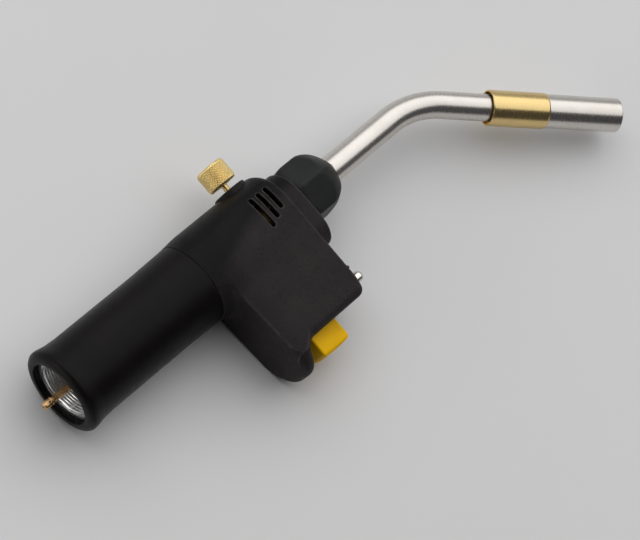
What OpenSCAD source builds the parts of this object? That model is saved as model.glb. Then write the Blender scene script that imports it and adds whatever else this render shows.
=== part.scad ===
// Trigger-start propane torch head, lying on its side as it rests on a bench.
// Local directions before the lean is applied: X forward (trigger and flame
// side), Y along the handle axis from the cylinder connector to the burner,
// Z across the torch. Y = 0 is the open end of the handle.

/* [Rest] */
// Lean about the handle axis when the torch lies on its side, degrees
lean = 4.5; // [0:0.5:6]

/* [Handle] */
// Outer radius of the grip at its waist
grip_r = 19.0; // [18.5:0.1:19.6]
// Outer radius of the flared rim at the open end
rim_r = 20.2; // [19.8:0.1:20.4]
// Inner radius of the grip sleeve
grip_in_r = 15.2; // [15.2:0.1:15.6]
// Height of the seam between grip and head
seam_y = 77.5; // [76:0.5:79]

/* [Head] */
// Radius of the round back of the head
head_r = 20.2; // [19.8:0.1:20.6]
// Height of the top of the head
head_top = 132.4; // [131.5:0.1:133.5]
// Front face of the block
block_f = 50.2; // [49.5:0.1:51]
// Half thickness of the block
block_h = 16.5; // [16:0.1:17]
// Wall thickness of the moulded halves
wall = 2.4; // [2:0.1:2.8]
// Height of the raised seat under the tube nut
seat_top = 139.4; // [138:0.2:140]

/* [Burner] */
// Outer radius of the burn tube
tube_r = 6.35; // [6:0.05:6.5]
// Centre-line radius of the bend
bend_r = 42; // [38:1:46]
// Bend of the burn tube, degrees
bend_a = 39; // [30:1:45]
// Height at which the bend starts
bend_y = 204; // [200:1:208]
// Straight length from the bend to the ferrule
reach = 23; // [20:0.5:26]
// Length of the brass ferrule
ferrule_l = 28.6; // [24:0.2:32]
// Visible length of the burner tube
burner_l = 37.6; // [32:0.2:42]
// Outer radius of the burner tube
burner_r = 7.95; // [7.6:0.05:8.1]

/* [Controls] */
// Height of the flame adjuster axis
knob_y = 120; // [119:0.5:121]
// Outer radius of the knurled knob
knob_r = 7.0; // [6:0.1:7.4]
// Length of the knurled knob
knob_l = 10.4; // [8:0.2:11]
// Height of the trigger axis
trig_y = 108.4; // [108:0.1:108.6]
// Distance the trigger stands out of the block
trig_out = 10.8; // [9:0.2:11]

/* [Hidden] */
$fn = 64;

// fixed inner dimensions
trig_x = block_f - wall;      // inside face of the front wall
in_r = head_r - wall;         // inside radius of the round part
in_h = block_h - wall;        // inside half thickness of the block
screw_pts = [[24, 88.6], [41, 91], [30, 126.4], [-13.4, 91]];
pivot = [34, 90];             // valve lever pin
poppet_y = 93.88;             // valve poppet axis
lock_x = 43.6;                // lock button axis
sup_x = 12.0;                 // supply tube axis
tx = sin(bend_a); ty = cos(bend_a);
bend_c = [bend_r, bend_y];
bend_end = [bend_r * (1 - cos(bend_a)), bend_y + bend_r * sin(bend_a)];
lead_off = 2.6;               // ignition lead off the tube axis

// ---- helpers ----
module place() { rotate([0, lean, 0]) children(); }
// cylinder along +Y from y0 to y1
module yc(r, y0, y1) { translate([0, y0, 0]) rotate([-90, 0, 0]) cylinder(r = r, h = y1 - y0); }
// cylinder along +X from x0 to x1
module xc(r, x0, x1) { translate([x0, 0, 0]) rotate([0, 90, 0]) cylinder(r = r, h = x1 - x0); }
// revolve a [radius, y] outline about the Y axis
module yrev(pts) { rotate([-90, 0, 0]) rotate_extrude() polygon(pts); }
// revolve a [radius, x] outline about the X axis
module xrev(pts) { rotate([0, 90, 0]) rotate_extrude() polygon(pts); }
// box from corner to corner
module bx(a, b) { translate(a) cube(b - a); }
function arc(cx, cy, r, a0, a1, n = 6) =
  [for (i = [0:n]) let (a = a0 + (a1 - a0) * i / n) [cx + r * cos(a), cy + r * sin(a)]];
// move to the start of the straight run after the bend, Y along the run
module along(d) { translate([bend_end[0] + d * tx, bend_end[1] + d * ty, 0]) rotate([0, 0, -bend_a]) children(); }

// swept round wire through points, sides = 8
function vsub(a, b) = a - b;
function unit(v) = v / norm(v);
function tang(p, i) = unit(i == 0 ? p[1] - p[0] : i == len(p) - 1 ? p[i] - p[i - 1] : p[i + 1] - p[i - 1]);
function up_of(t, ref) = unit(ref - (ref * t) * t);
module wire(p, r, ref = [0, 0, 1], s = 8) {
  n = len(p);
  pts = [for (i = [0:n - 1]) let (t = tang(p, i), u = up_of(t, ref), w = cross(t, u))
      for (k = [0:s - 1]) p[i] + r * (cos(360 * k / s) * u + sin(360 * k / s) * w)];
  side = [for (i = [0:n - 2]) for (k = [0:s - 1])
      let (a = i * s + k, b = i * s + (k + 1) % s) [a, b, b + s, a + s]];
  polyhedron(points = pts, faces = concat(side,
      [[for (k = [s - 1:-1:0]) k], [for (k = [0:s - 1]) (n - 1) * s + k]]), convexity = 6);
}
// close-wound ends and open middle: helix about the Z axis from 0 to h
function helix(r, h, w, turns, per = 10) =
  let (n = (turns + 2) * per)
  [for (i = [0:n]) let (t = i / per,
      z = t < 1 ? w + t * w : t > turns + 1 ? h - w - (turns + 2 - t) * w
          : 2 * w + (t - 1) * (h - 4 * w) / turns)
    [r * cos(360 * t), r * sin(360 * t), z]];
module spring(r, h, w, turns) { wire(helix(r, h, w, turns), w * 0.92, [0, 0, 1], 6); }

// ---- outlines of the head ----
// side view of the block above the lip
function block_side(t) = concat(
  [[0, 84.2 + t], [11, 84.2 + t], [50 - t, 86.3 + t]],
  [[block_f - t, 86.4 + t]],
  arc(block_f - 4.5, head_top - 4.5, 4.5 - t, 0, 90, 5),
  [[0, head_top - t]]);
// side view of the lip that stands out under the trigger
function lip_side(t) = concat(
  [[20, 84.9 + t], [50, 86.4 + t]],
  arc(57.8 - (t > 0 ? t : 0), 90.6, 4 - t * 0.4, -80, 0, 5),
  arc(58.8 - (t > 0 ? t : 0), 91.2, 3 - t * 0.4, 0, 90, 4),
  t > 0 ? [[50, 94.2 - t], [20, 94.2 - t]] :
    concat(arc(56.4, 100.2, 6.1, -95, -178, 6), [[20, 100]]));
// plan view, cut across the handle axis
module block_plan(t) {
  h = block_h - t; f = block_f - t;
  polygon(concat([[0, -h]], arc(f - 4, -h + 4, 4, -90, 0, 5), arc(f - 4, h - 4, 4, 0, 90, 5), [[0, h]]));
}
module lip_plan(t) {
  h = block_h - t; f = 61.8 - t;
  polygon(concat([[0, -h]], arc(f - 13.5, -h + 13.5, 13.5, -90, 0, 8), arc(f - 13.5, h - 13.5, 13.5, 0, 90, 8), [[0, h]]));
}
module up_plan(y0, y1) { translate([0, y1, 0]) rotate([90, 0, 0]) linear_extrude(y1 - y0) children(); }

// half thickness left when the flat sides run on across the round back
function flat_at(y) = let (t = min(1, max(0, (y - 87) / 26))) 16.6 + 3.9 * (1 - t * t * (3 - 2 * t));
module side_clip(t) {
  ys = [70, 87, 90, 93, 96, 99, 102, 105, 108, 111, 114, 140];
  n = len(ys) - 1;
  translate([-30, 0, 0]) rotate([90, 0, 90]) linear_extrude(60)
    polygon(concat([for (y = ys) [y, flat_at(y) - t]], [for (i = [n:-1:0]) [ys[i], t - flat_at(ys[i])]]));
}
// plan of the raised seat: round at the back, wide at the front
module seat_plan(t) {
  r = 14.9 - t; c = 11 - t;
  polygon(concat([for (a = [90:10:270]) [r * cos(a), r * sin(a)]],
    arc(13.3, -3.9, c, -90, 0, 6), arc(13.3, 3.9, c, 0, 90, 6)));
}

module head_outer() {
  intersection() {
    translate([0, 0, -30]) linear_extrude(60) polygon(block_side(0));
    up_plan(80, 140) block_plan(0);
  }
  intersection() {
    translate([0, 0, -30]) linear_extrude(60) polygon(lip_side(0));
    up_plan(80, 140) lip_plan(0);
  }
  intersection() {
    yrev([[0, seam_y], [head_r - 0.6, seam_y], [head_r, seam_y + 0.6], [head_r, head_top - 5],
        [head_r - 0.4, head_top - 3], [head_r - 1.5, head_top - 1.5], [head_r - 3, head_top - 0.4],
        [head_r - 5, head_top], [0, head_top]]);
    side_clip(0);
  }
  // raised seat for the tube nut
  up_plan(head_top - 2, seat_top - 0.6) seat_plan(0);
  up_plan(head_top - 2, seat_top) seat_plan(0.6);
  // ridge behind the lock button
  bx([36.6, head_top - 1, -13], [38.2, head_top + 2.2, 13]);
}
module head_inner() {
  intersection() {
    translate([0, 0, -30]) linear_extrude(60) polygon(block_side(wall));
    up_plan(80, 140) block_plan(wall);
  }
  intersection() {
    translate([0, 0, -30]) linear_extrude(60) polygon(lip_side(wall));
    up_plan(80, 140) lip_plan(wall);
  }
  difference() {
    intersection() { yc(in_r, seam_y - 1, head_top - wall); side_clip(wall); }
    // rib that locks into the groove of the grip sleeve
    difference() { yc(in_r + 1, 81.2, 82.8); yc(17.0, 81, 83); }
  }
}
module head_cuts() {
  // bore for the tube collar
  yc(10.05, head_top - 6, seat_top + 1);
  // adjuster window in the back
  translate([0, knob_y, 0]) xc(8.0, -24, -12);
  // trigger slot in the front wall
  bx([trig_x - 1, trig_y - 7.8, -7.1], [block_f + 2, trig_y + 7.8, 7.1]);
  // lock button hole
  translate([lock_x, 0, 0]) yc(2.56, head_top - 4, head_top + 4);
  // air vents
  for (v = [[126.6, -0.2], [122.2, 2.0], [117.8, 4.0]]) for (s = [-1, 1])
    translate([0, v[0], 0]) rotate([0, 0, 3])
      bx([-11.8, -1.1, s > 0 ? 9 : -25], [v[1], 1.1, s > 0 ? 25 : -9]);
}
module bosses() {
  for (p = screw_pts) translate([p[0], p[1], -block_h + 1]) cylinder(r = 3.8, h = 2 * block_h - 2);
  // sockets for the lever pin
  for (s = [-1, 1]) translate([pivot[0], pivot[1], s > 0 ? 9 : -in_h - 0.5]) cylinder(r = 2.6, h = in_h - 8.5);
}
module boss_trim() {
  // keeps the bosses inside the outer shape
  intersection() {
    bosses();
    union() {
      intersection() {
        translate([0, 0, -30]) linear_extrude(60) polygon(block_side(1));
        up_plan(80, 140) block_plan(1);
      }
      intersection() { yc(head_r - 1, seam_y + 1, head_top - 1); side_clip(1); }
    }
  }
}
module shell() {
  difference() {
    union() {
      difference() { head_outer(); head_inner(); }
      boss_trim();
    }
    head_cuts();
    translate([pivot[0], pivot[1], -12.5]) cylinder(r = 1.5, h = 25);
  }
}
module housing_right() color([0.15, 0.15, 0.155]) place() {
  difference() {
    intersection() { shell(); bx([-40, 70, 0], [80, 150, 40]); }
    for (p = screw_pts) translate([p[0], p[1], -1]) cylinder(r = 1.5, h = 11.5);
  }
}
module housing_left() color([0.15, 0.15, 0.155]) place() {
  difference() {
    intersection() { shell(); bx([-40, 70, -40], [80, 150, 0]); }
    for (p = screw_pts) {
      translate([p[0], p[1], -30]) cylinder(r = 1.65, h = 31);
      translate([p[0], p[1], -30]) cylinder(r = 2.9, h = 30 - 9.5);
    }
  }
}
module housing_screws() color([0.6, 0.6, 0.62]) place()
  for (p = screw_pts) translate([p[0], p[1], 0]) difference() {
    union() {
      translate([0, 0, -9.5]) cylinder(r = 1.5, h = 19.5);
      translate([0, 0, -11.4]) cylinder(r = 2.7, h = 1.9);
    }
    for (a = [0, 90]) rotate([0, 0, a]) bx([-1.6, -0.3, -12], [1.6, 0.3, -10.5]);
  }

module grip_sleeve() color([0.14, 0.14, 0.145]) place() difference() {
  yrev([[grip_in_r, 0], [17.0, 0], [18.6, 0.25], [19.6, 1.0], [rim_r, 2.4], [rim_r, 3.6],
      [19.7, 6.5], [grip_r, 11], [grip_r, 60], [grip_r + 0.35, seam_y - 0.7], [grip_r + 0.1, seam_y],
      [17.7, seam_y], [17.7, 81], [16.9, 81], [16.9, 83], [17.7, 83], [17.7, 86], [grip_in_r, 86]]);
}

// ---- gas inlet and regulator ----
module cylinder_connector() color([0.75, 0.76, 0.78]) place()
  yrev([[15.2, 3.2], [15.2, 18], [8, 18], [8, 23], [3, 23], [3, 13.5], [12.2, 13.5], [12.2, 3.0],
      [12.7, 2.5], [14.5, 2.5]]);
module connector_seal() color([0.1, 0.1, 0.1]) place()
  yrev([[4.7, 12.2], [11.6, 12.2], [11.6, 13.5], [4.7, 13.5]]);
module inlet_probe() color([0.8, 0.62, 0.3]) place() difference() {
  yrev([[0, -8.3], [0.9, -8.3], [1.55, -7.7], [1.8, -6.9], [1.8, -2.6], [1.45, -2.1], [1.45, 11.2],
      [4.5, 11.2], [4.5, 13.5], [3, 13.5], [3, 21], [0, 21]]);
  yc(0.6, -6.5, 22);
  translate([0, -4.4, -3]) cylinder(r = 0.5, h = 6);
}
module inlet_filter() color([0.7, 0.6, 0.4]) place() yc(3, 21, 23);
module regulator_body() color([0.72, 0.73, 0.75]) place() difference() {
  yrev([[8, 18], [15, 18], [15, 36], [8.5, 36], [8.5, 27], [1.4, 27], [1.4, 23], [8, 23]]);
  translate([sup_x, 0, 0]) yc(2.0, 30, 37);
  translate([sup_x, 0, 0]) yc(2.68, 33.15, 33.85);
  translate([0, 30.6, 0]) xc(0.9, 8, 12);
}
module regulator_poppet() color([0.8, 0.62, 0.3]) place()
  yrev([[0, 23.3], [0.9, 23.3], [0.9, 27.4], [2.4, 27.4], [2.4, 28.6], [0.8, 28.6], [0.8, 36], [0, 36]]);
module regulator_diaphragm() color([0.12, 0.12, 0.12]) place() yc(9.8, 36, 36.9);
module regulator_cap() color([0.72, 0.73, 0.75]) place()
  yrev([[8, 36.9], [9.8, 36.9], [9.8, 56], [0, 56], [0, 54], [8, 54]]);
module regulator_spring() color([0.7, 0.7, 0.72]) place()
  translate([0, 36.9, 0]) rotate([-90, 0, 0]) spring(5.4, 17.1, 0.6, 6);
module supply_tube() color([0.75, 0.5, 0.35]) place() translate([sup_x, 0, 0])
  yrev([[1.2, 31], [2, 31], [2, 90.6], [1.2, 90.6]]);
module supply_o_rings() color([0.1, 0.1, 0.1]) place()
  for (y = [33.5, 89.5]) translate([sup_x, y, 0]) rotate([-90, 0, 0])
    rotate_extrude() translate([2.34, 0]) circle(r = 0.32, $fn = 24);

// ---- gas valve ----
module valve_block() color([0.8, 0.66, 0.36]) place() difference() {
  union() {
    yc(9, 97, 122);
    bx([-7, 88, -6.5], [16.5, 99, 6.5]);
    translate([0, knob_y, 0]) xc(4.0, -13.2, -7);
  }
  // inlet, poppet chamber, riser
  translate([sup_x, 0, 0]) yc(2.0, 87, 90.6);
  translate([sup_x, 0, 0]) yc(1.0, 90, poppet_y);
  translate([0, poppet_y, 0]) xc(3.0, 3, 14.5);
  translate([0, poppet_y, 0]) xc(1.06, -1, 17);
  yc(1.0, poppet_y, 122.5);
  // adjuster bore
  translate([0, knob_y, 0]) xc(1.56, -14, -4);
  translate([0, knob_y, 0]) xrev([[0, -4.01], [1.56, -4.01], [0.5, -1.5], [0.5, 0], [0, 0]]);
  // jet thread
  yc(2.0, 121.3, 123);
  // seal groove on the inlet
  translate([sup_x, 0, 0]) yc(2.68, 89.15, 89.85);
}
module valve_seat() color([0.1, 0.1, 0.1]) place() translate([0, poppet_y, 0])
  xrev([[1.2, 13.3], [2.95, 13.3], [2.95, 14.5], [1.2, 14.5]]);
module valve_poppet() color([0.8, 0.66, 0.36]) place() translate([0, poppet_y, 0])
  xrev([[0, 7], [0.95, 7], [0.95, 12.2], [2.5, 12.2], [2.5, 13.3], [1.0, 13.3], [1.0, 33.9], [0, 33.9]]);
module poppet_spring() color([0.7, 0.7, 0.72]) place() translate([3, poppet_y, 0])
  rotate([0, 90, 0]) spring(1.75, 9.2, 0.35, 5);
// lever starts tilted 0.25 rad towards the trigger
lev0 = 14.3239;
module valve_lever() color([0.7, 0.71, 0.73]) place() translate([pivot[0], pivot[1], -2])
  rotate([0, 0, -lev0]) difference() {
    union() {
      cylinder(r = 1.95, h = 4);
      translate([0, 12, 0]) cylinder(r = 1.2, h = 4);
      translate([0, 4, 0]) cylinder(r = 1.0, h = 4);
      bx([-0.6, 0, 0], [0.6, 12, 4]);
    }
    translate([0, 0, -1]) cylinder(r = 1.05, h = 6);
  }
module lever_pin() color([0.75, 0.76, 0.78]) place() translate([pivot[0], pivot[1], 0]) union() {
  translate([0, 0, -3]) cylinder(r = 1.0, h = 6);
  for (s = [-1, 1]) translate([0, 0, s > 0 ? 2.4 : -12.4]) cylinder(r = 1.5, h = 10);
}

// ---- flame adjuster ----
module packing_gland() color([0.8, 0.62, 0.3]) place() translate([0, knob_y, 0]) difference() {
  translate([-17.4, 0, 0]) rotate([0, 90, 0]) cylinder(r = 5.7, h = 6.4, $fn = 6);
  xc(4.0, -13.2, -10);
  xc(3.2, -15.9, -13);
  xc(1.56, -18, -15);
}
module stem_o_ring() color([0.08, 0.08, 0.08]) place() translate([-14.0, knob_y, 0]) rotate([0, 90, 0])
  rotate_extrude() translate([2.26, 0]) circle(r = 0.7, $fn = 24);
module needle_stem() color([0.8, 0.62, 0.3]) place() translate([0, knob_y, 0])
  xrev([[0, -30], [1.5, -30], [1.5, -4.1], [0.44, -1.6], [0, -1.4]]);
module adjust_knob() color([0.82, 0.66, 0.34]) place() translate([0, knob_y, 0]) difference() {
  xrev([[1.5, -24.3], [knob_r - 0.5, -24.3], [knob_r, -24.8], [knob_r, -24.3 - knob_l + 0.6],
      [knob_r - 0.6, -24.3 - knob_l], [0, -24.3 - knob_l], [0, -30], [1.5, -30]]);
  for (i = [0:35]) rotate([i * 10, 0, 0])
    bx([-24.3 - knob_l + 1.4, knob_r - 0.3, -0.16], [-25.4, knob_r + 1, 0.16]);
}
module knob_bezel() color([0.1, 0.1, 0.1]) place() translate([0, knob_y, 0])
  xrev([[6.4, -15.6], [6.4, -20.6], [6.9, -21.2], [7.6, -21.2], [8.0, -20.8], [8.0, -15.6]]);

// ---- jet, air cage, collar and nut ----
module gas_jet() color([0.8, 0.62, 0.3]) place() difference() {
  union() {
    yc(2.0, 121.3, 122);
    translate([0, 122, 0]) rotate([-90, 0, 0]) cylinder(r = 3.2, h = 2.4, $fn = 6);
    yrev([[0, 124.4], [2.2, 124.4], [1.2, 127], [0, 127]]);
  }
  yc(0.7, 119, 125.5);
  yc(0.25, 125, 128);
}
module air_cage() color([0.8, 0.66, 0.36]) place() difference() {
  yrev([[7.2, 122], [9, 122], [9, 128.2], [12.4, 128.2], [12.4, head_top - wall], [9.6, head_top - wall], [9.6, 134], [7.2, 134]]);
  for (a = [0, 90]) rotate([0, a, 0]) bx([-12, 124.4, -3.4], [12, 128.2, 3.4]);
  // room for the adjuster boss of the valve block
  translate([0, knob_y, 0]) xc(4.1, -13, -6);
}
module tube_collar() color([0.8, 0.66, 0.36]) place()
  yrev([[5.4, 134], [10.0, 134], [10.0, 152.4], [9.4, 153], [6.4, 153], [6.4, 137], [5.4, 137]]);
module tube_olive() color([0.82, 0.66, 0.34]) place()
  yrev([[6.35, 153], [8.2, 153], [8.6, 154.4], [8.2, 156], [6.35, 156]]);
module tube_nut() color([0.13, 0.13, 0.135]) place() difference() {
  intersection() {
    translate([0, 139.6, 0]) rotate([-90, 0, 0]) rotate([0, 0, 22]) cylinder(r = 15.8, h = 24.8, $fn = 6);
    yrev([[0, 139.6], [15.3, 139.6], [15.8, 140.4], [15.8, 152.2], [14.9, 154.9], [12.8, 158.2], [9.6, 161.6], [6.9, 163.7], [0, 163.7]]);
  }
  yc(10.05, 139, 153.2);
  yrev([[0, 153], [8.8, 153], [8.8, 156.1], [6.38, 156.1], [6.38, 170], [0, 170]]);
}

// ---- burn tube, ferrule and burner ----
// bent pipe as one swept wall: outer and inner rings along the centre line
module pipe_sweep(p, ro, ri, s = 40) {
  n = len(p);
  ring = function(r) [for (i = [0:n - 1]) let (t = tang(p, i), w = cross(t, [0, 0, 1]))
      for (k = [0:s - 1]) p[i] + r * (cos(360 * k / s) * [0, 0, 1] + sin(360 * k / s) * w)];
  o = n * s;
  outer = [for (i = [0:n - 2]) for (k = [0:s - 1])
      let (a = i * s + k, b = i * s + (k + 1) % s) [a, b, b + s, a + s]];
  inner = [for (f = outer) [o + f[3], o + f[2], o + f[1], o + f[0]]];
  caps = concat(
    [for (k = [0:s - 1]) let (b = (k + 1) % s) [k, o + k, o + b, b]],
    [for (k = [0:s - 1]) let (a = (n - 1) * s + k, b = (n - 1) * s + (k + 1) % s) [a, b, o + b, o + a]]);
  polyhedron(points = concat(ring(ro), ring(ri)), faces = concat(outer, inner, caps), convexity = 8);
}
function centre_line(y0, far) = concat([[0, y0, 0]],
  [for (i = [0:10]) let (a = 180 - bend_a * i / 10) [bend_r + bend_r * cos(a), bend_y + bend_r * sin(a), 0]],
  [[bend_end[0] + far * tx, bend_end[1] + far * ty, 0]]);
module burn_tube() color([0.72, 0.7, 0.66]) place() pipe_sweep(centre_line(137, reach + 19), tube_r, 5.45);
module ferrule() color([0.84, 0.68, 0.36]) place() along(reach) yrev([
    [7.5, 0], [8.1, 0], [8.35, 0.3], [8.35, ferrule_l - 0.3], [8.1, ferrule_l], [7.14, ferrule_l],
    [7.14, ferrule_l + 7], [6.6, ferrule_l + 7], [6.6, 19], [tube_r, 19], [tube_r, 4], [7.5, 4]]);
module burner_tube() color([0.72, 0.7, 0.66]) place() along(reach + ferrule_l) yrev([
    [7.2, 0], [burner_r, 0], [burner_r, burner_l - 1.4], [burner_r - 0.4, burner_l - 0.4],
    [burner_r - 1.2, burner_l], [6.9, burner_l], [6.7, burner_l - 0.6], [7.2, burner_l - 1.6]]);
module flame_swirler() color([0.8, 0.62, 0.3]) place() along(reach + ferrule_l) difference() {
  yc(7.2, 9, 12);
  yc(2.0, 8, 13);
  for (i = [0:7]) rotate([0, i * 45, 0]) translate([4.6, 0, 0]) yc(1.1, 8, 13);
}
module electrode_insulator() color([0.92, 0.9, 0.84]) place() along(reach + ferrule_l)
  yrev([[0.5, 2], [1.6, 2], [2.0, 3], [2.0, 19], [1.5, 20], [0.5, 20]]);
module electrode() color([0.6, 0.6, 0.6]) place() along(reach + ferrule_l) yc(0.5, 2, 29);
lead_pts = concat(
  [[16, 113.4], [16, 118]],
  arc(12, 122.3, 4, 0, 90, 4), [[8, 126.3]],
  arc(5.6, 129.3, 3.0, -90, -180, 4),
  [[lead_off, 136], [lead_off, 160], [lead_off, 185], [lead_off, bend_y]],
  [for (i = [1:8]) let (a = 180 - bend_a * i / 8) [bend_r + (bend_r - lead_off) * cos(a), bend_y + (bend_r - lead_off) * sin(a)]]);
lead_end = [bend_end[0] + lead_off * ty, bend_end[1] - lead_off * tx];
module ignition_lead() color([0.75, 0.1, 0.08]) place() wire(concat(
    [for (p = lead_pts) [p[0], p[1], 0]],
    [for (d = [20, 40]) [lead_end[0] + d * tx, lead_end[1] + d * ty, 0]],
    [for (d = [reach + ferrule_l - 3, reach + ferrule_l - 1, reach + ferrule_l + 2])
      let (k = d < reach + ferrule_l - 2 ? 0.4 : 0) [bend_end[0] + lead_off * k * ty + d * tx, bend_end[1] - lead_off * k * tx + d * ty, 0]]), 0.9);

// ---- igniter, trigger and lock ----
module piezo_case() color([0.85, 0.85, 0.82]) place() difference() {
  union() {
    bx([12, trig_y - 5, -5], [34, trig_y + 5, 5]);
  }
  bx([19.5, trig_y - 3.05, -3.05], [35, trig_y + 3.05, 3.05]);
}
module piezo_plunger() color([0.2, 0.2, 0.22]) place()
  bx([26, trig_y - 3, -3], [45.4, trig_y + 3, 3]);
module trigger_button() color([0.93, 0.72, 0.05]) place() {
  // finger face that stands out of the block
  intersection() {
    bx([trig_x - 0.4, trig_y - 7.75, -7], [block_f + trig_out, trig_y + 7.75, 7]);
    translate([0, 0, -10]) linear_extrude(20) polygon(concat([[40, trig_y - 7.75]],
        arc(block_f + trig_out - 2.2, trig_y - 5.55, 2.2, -90, 0, 4),
        arc(block_f + trig_out - 2.2, trig_y + 5.55, 2.2, 0, 90, 4), [[40, trig_y + 7.75]]));
    up_plan(90, 130) polygon(concat([[40, -7]], arc(block_f + trig_out - 2, -5, 2, -90, 0, 4),
        arc(block_f + trig_out - 2, 5, 2, 0, 90, 4), [[40, 7]]));
  }
  // flange behind the front wall
  bx([45.4, 98.9, -8.7], [trig_x - 0.2, 117.8, 8.7]);
  // tab that works the valve lever
  bx([38.29, 100.2, -3], [45.6, 102.8, 3]);
}
module trigger_spring() color([0.7, 0.7, 0.72]) place() translate([34, trig_y, 0])
  rotate([0, 90, 0]) spring(4.95, 11.4, 0.35, 5);
module lock_button() color([0.8, 0.8, 0.8]) place() translate([lock_x, 0, 0])
  yrev([[0, 118.3], [1.5, 118.3], [1.5, 128.3], [3.0, 128.3], [3.0, head_top - wall - 0.25],
      [2.5, head_top - wall - 0.25], [2.5, 139.8], [2.1, 140.8], [1.3, 141.4], [0, 141.6]]);
module lock_spring() color([0.7, 0.7, 0.72]) place() translate([lock_x, 121.6, 0])
  rotate([-90, 0, 0]) spring(2.4, 6.7, 0.35, 4);
module lock_guide() color([0.6, 0.6, 0.62]) place() difference() {
  union() {
    bx([38, 120.4, -in_h], [43.6, 121.6, in_h]);
    bx([38, 120.4, -9.9], [trig_x, 121.6, 9.9]);
  }
  translate([lock_x, 0, 0]) yc(1.56, 119, 123);
}

housing_right();
housing_left();
housing_screws();
grip_sleeve();
cylinder_connector();
connector_seal();
inlet_probe();
inlet_filter();
regulator_body();
regulator_poppet();
regulator_diaphragm();
regulator_cap();
regulator_spring();
supply_tube();
supply_o_rings();
valve_block();
valve_seat();
valve_poppet();
poppet_spring();
valve_lever();
lever_pin();
packing_gland();
stem_o_ring();
needle_stem();
adjust_knob();
knob_bezel();
gas_jet();
air_cage();
tube_collar();
tube_olive();
tube_nut();
burn_tube();
ferrule();
burner_tube();
flame_swirler();
electrode_insulator();
electrode();
ignition_lead();
piezo_case();
piezo_plunger();
trigger_button();
trigger_spring();
lock_button();
lock_spring();
lock_guide();
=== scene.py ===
import bpy
import bmesh
import math
import numpy as np
from mathutils import Matrix, Vector


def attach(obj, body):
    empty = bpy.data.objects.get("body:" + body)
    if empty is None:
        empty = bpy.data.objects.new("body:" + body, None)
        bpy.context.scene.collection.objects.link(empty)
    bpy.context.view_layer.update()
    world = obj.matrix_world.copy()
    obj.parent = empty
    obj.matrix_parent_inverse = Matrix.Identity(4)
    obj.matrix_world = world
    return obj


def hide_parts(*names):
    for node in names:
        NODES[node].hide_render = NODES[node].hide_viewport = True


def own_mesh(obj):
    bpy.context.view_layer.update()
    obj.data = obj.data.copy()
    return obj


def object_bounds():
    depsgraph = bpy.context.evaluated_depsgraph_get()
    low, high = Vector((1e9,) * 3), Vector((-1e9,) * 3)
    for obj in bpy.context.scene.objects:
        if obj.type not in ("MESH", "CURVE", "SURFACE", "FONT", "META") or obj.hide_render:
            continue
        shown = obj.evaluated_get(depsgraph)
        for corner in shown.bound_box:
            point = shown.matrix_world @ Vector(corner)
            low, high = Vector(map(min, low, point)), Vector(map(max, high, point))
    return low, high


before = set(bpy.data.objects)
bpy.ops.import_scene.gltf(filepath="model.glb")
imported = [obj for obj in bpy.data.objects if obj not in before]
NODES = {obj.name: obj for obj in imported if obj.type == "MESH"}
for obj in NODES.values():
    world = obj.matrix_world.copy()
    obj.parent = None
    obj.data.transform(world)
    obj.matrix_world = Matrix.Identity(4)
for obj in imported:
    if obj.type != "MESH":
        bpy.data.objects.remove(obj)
CAD_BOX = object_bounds()

# ------------------------------------------------------------------ frame of the torch
# Shapes are made in the torch's own directions, in millimetres: X to the trigger side, Y along the
# handle from its open end, Z across. The torch lies on its side with a small lean about Y.
LEAN = math.radians(4.5)
CA, SA = math.cos(LEAN), math.sin(LEAN)


def row(v):
    """Torch directions in mm -> row frame in m."""
    v = np.asarray(v, float).reshape(-1, 3)
    return (
        np.stack([v[:, 0] * CA + v[:, 2] * SA, v[:, 1], -v[:, 0] * SA + v[:, 2] * CA], 1)
        * 0.001
    )


def turn(v):
    """A direction, turned into the row frame."""
    return row(v) * 1000.0


BEND_A = math.radians(39)
BEND_R, BEND_Y = 42.0, 204.0
TX, TY = math.sin(BEND_A), math.cos(BEND_A)
BEND_END = np.array([BEND_R * (1 - math.cos(BEND_A)), BEND_Y + BEND_R * math.sin(BEND_A), 0.0])


# ------------------------------------------------------------------ mesh helpers
def make(name, verts, faces, mat, body="root", stands=(), slot=None, normals=None,
         sharp=None, extra=None, recalc=False):
    """A finished piece from points in mm (torch directions) and faces."""
    me = bpy.data.meshes.new(name)
    me.from_pydata(row(verts).tolist(), [], [list(map(int, f)) for f in faces])
    if extra:
        for key, val in extra.items():
            val = np.asarray(val, np.float32)
            if val.ndim == 1:
                at = me.attributes.new(key, "FLOAT", "POINT")
                at.data.foreach_set("value", val)
            else:
                at = me.attributes.new(key, "FLOAT_VECTOR", "POINT")
                at.data.foreach_set("vector", val.reshape(-1))
    me.update()
    if recalc:
        bm = bmesh.new()
        bm.from_mesh(me)
        bmesh.ops.remove_doubles(bm, verts=bm.verts, dist=1e-7)
        bmesh.ops.recalc_face_normals(bm, faces=bm.faces)
        bm.to_mesh(me)
        bm.free()
    me.polygons.foreach_set("use_smooth", [True] * len(me.polygons))
    if sharp is not None:
        me.set_sharp_from_angle(angle=math.radians(sharp))
    if normals is not None:
        me.normals_split_custom_set_from_vertices([tuple(n) for n in turn(normals)])
    ob = bpy.data.objects.new(name, me)
    bpy.context.scene.collection.objects.link(ob)
    me.materials.append(mat)
    if stands:
        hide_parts(*stands)
    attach(ob, body)
    return ob


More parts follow.
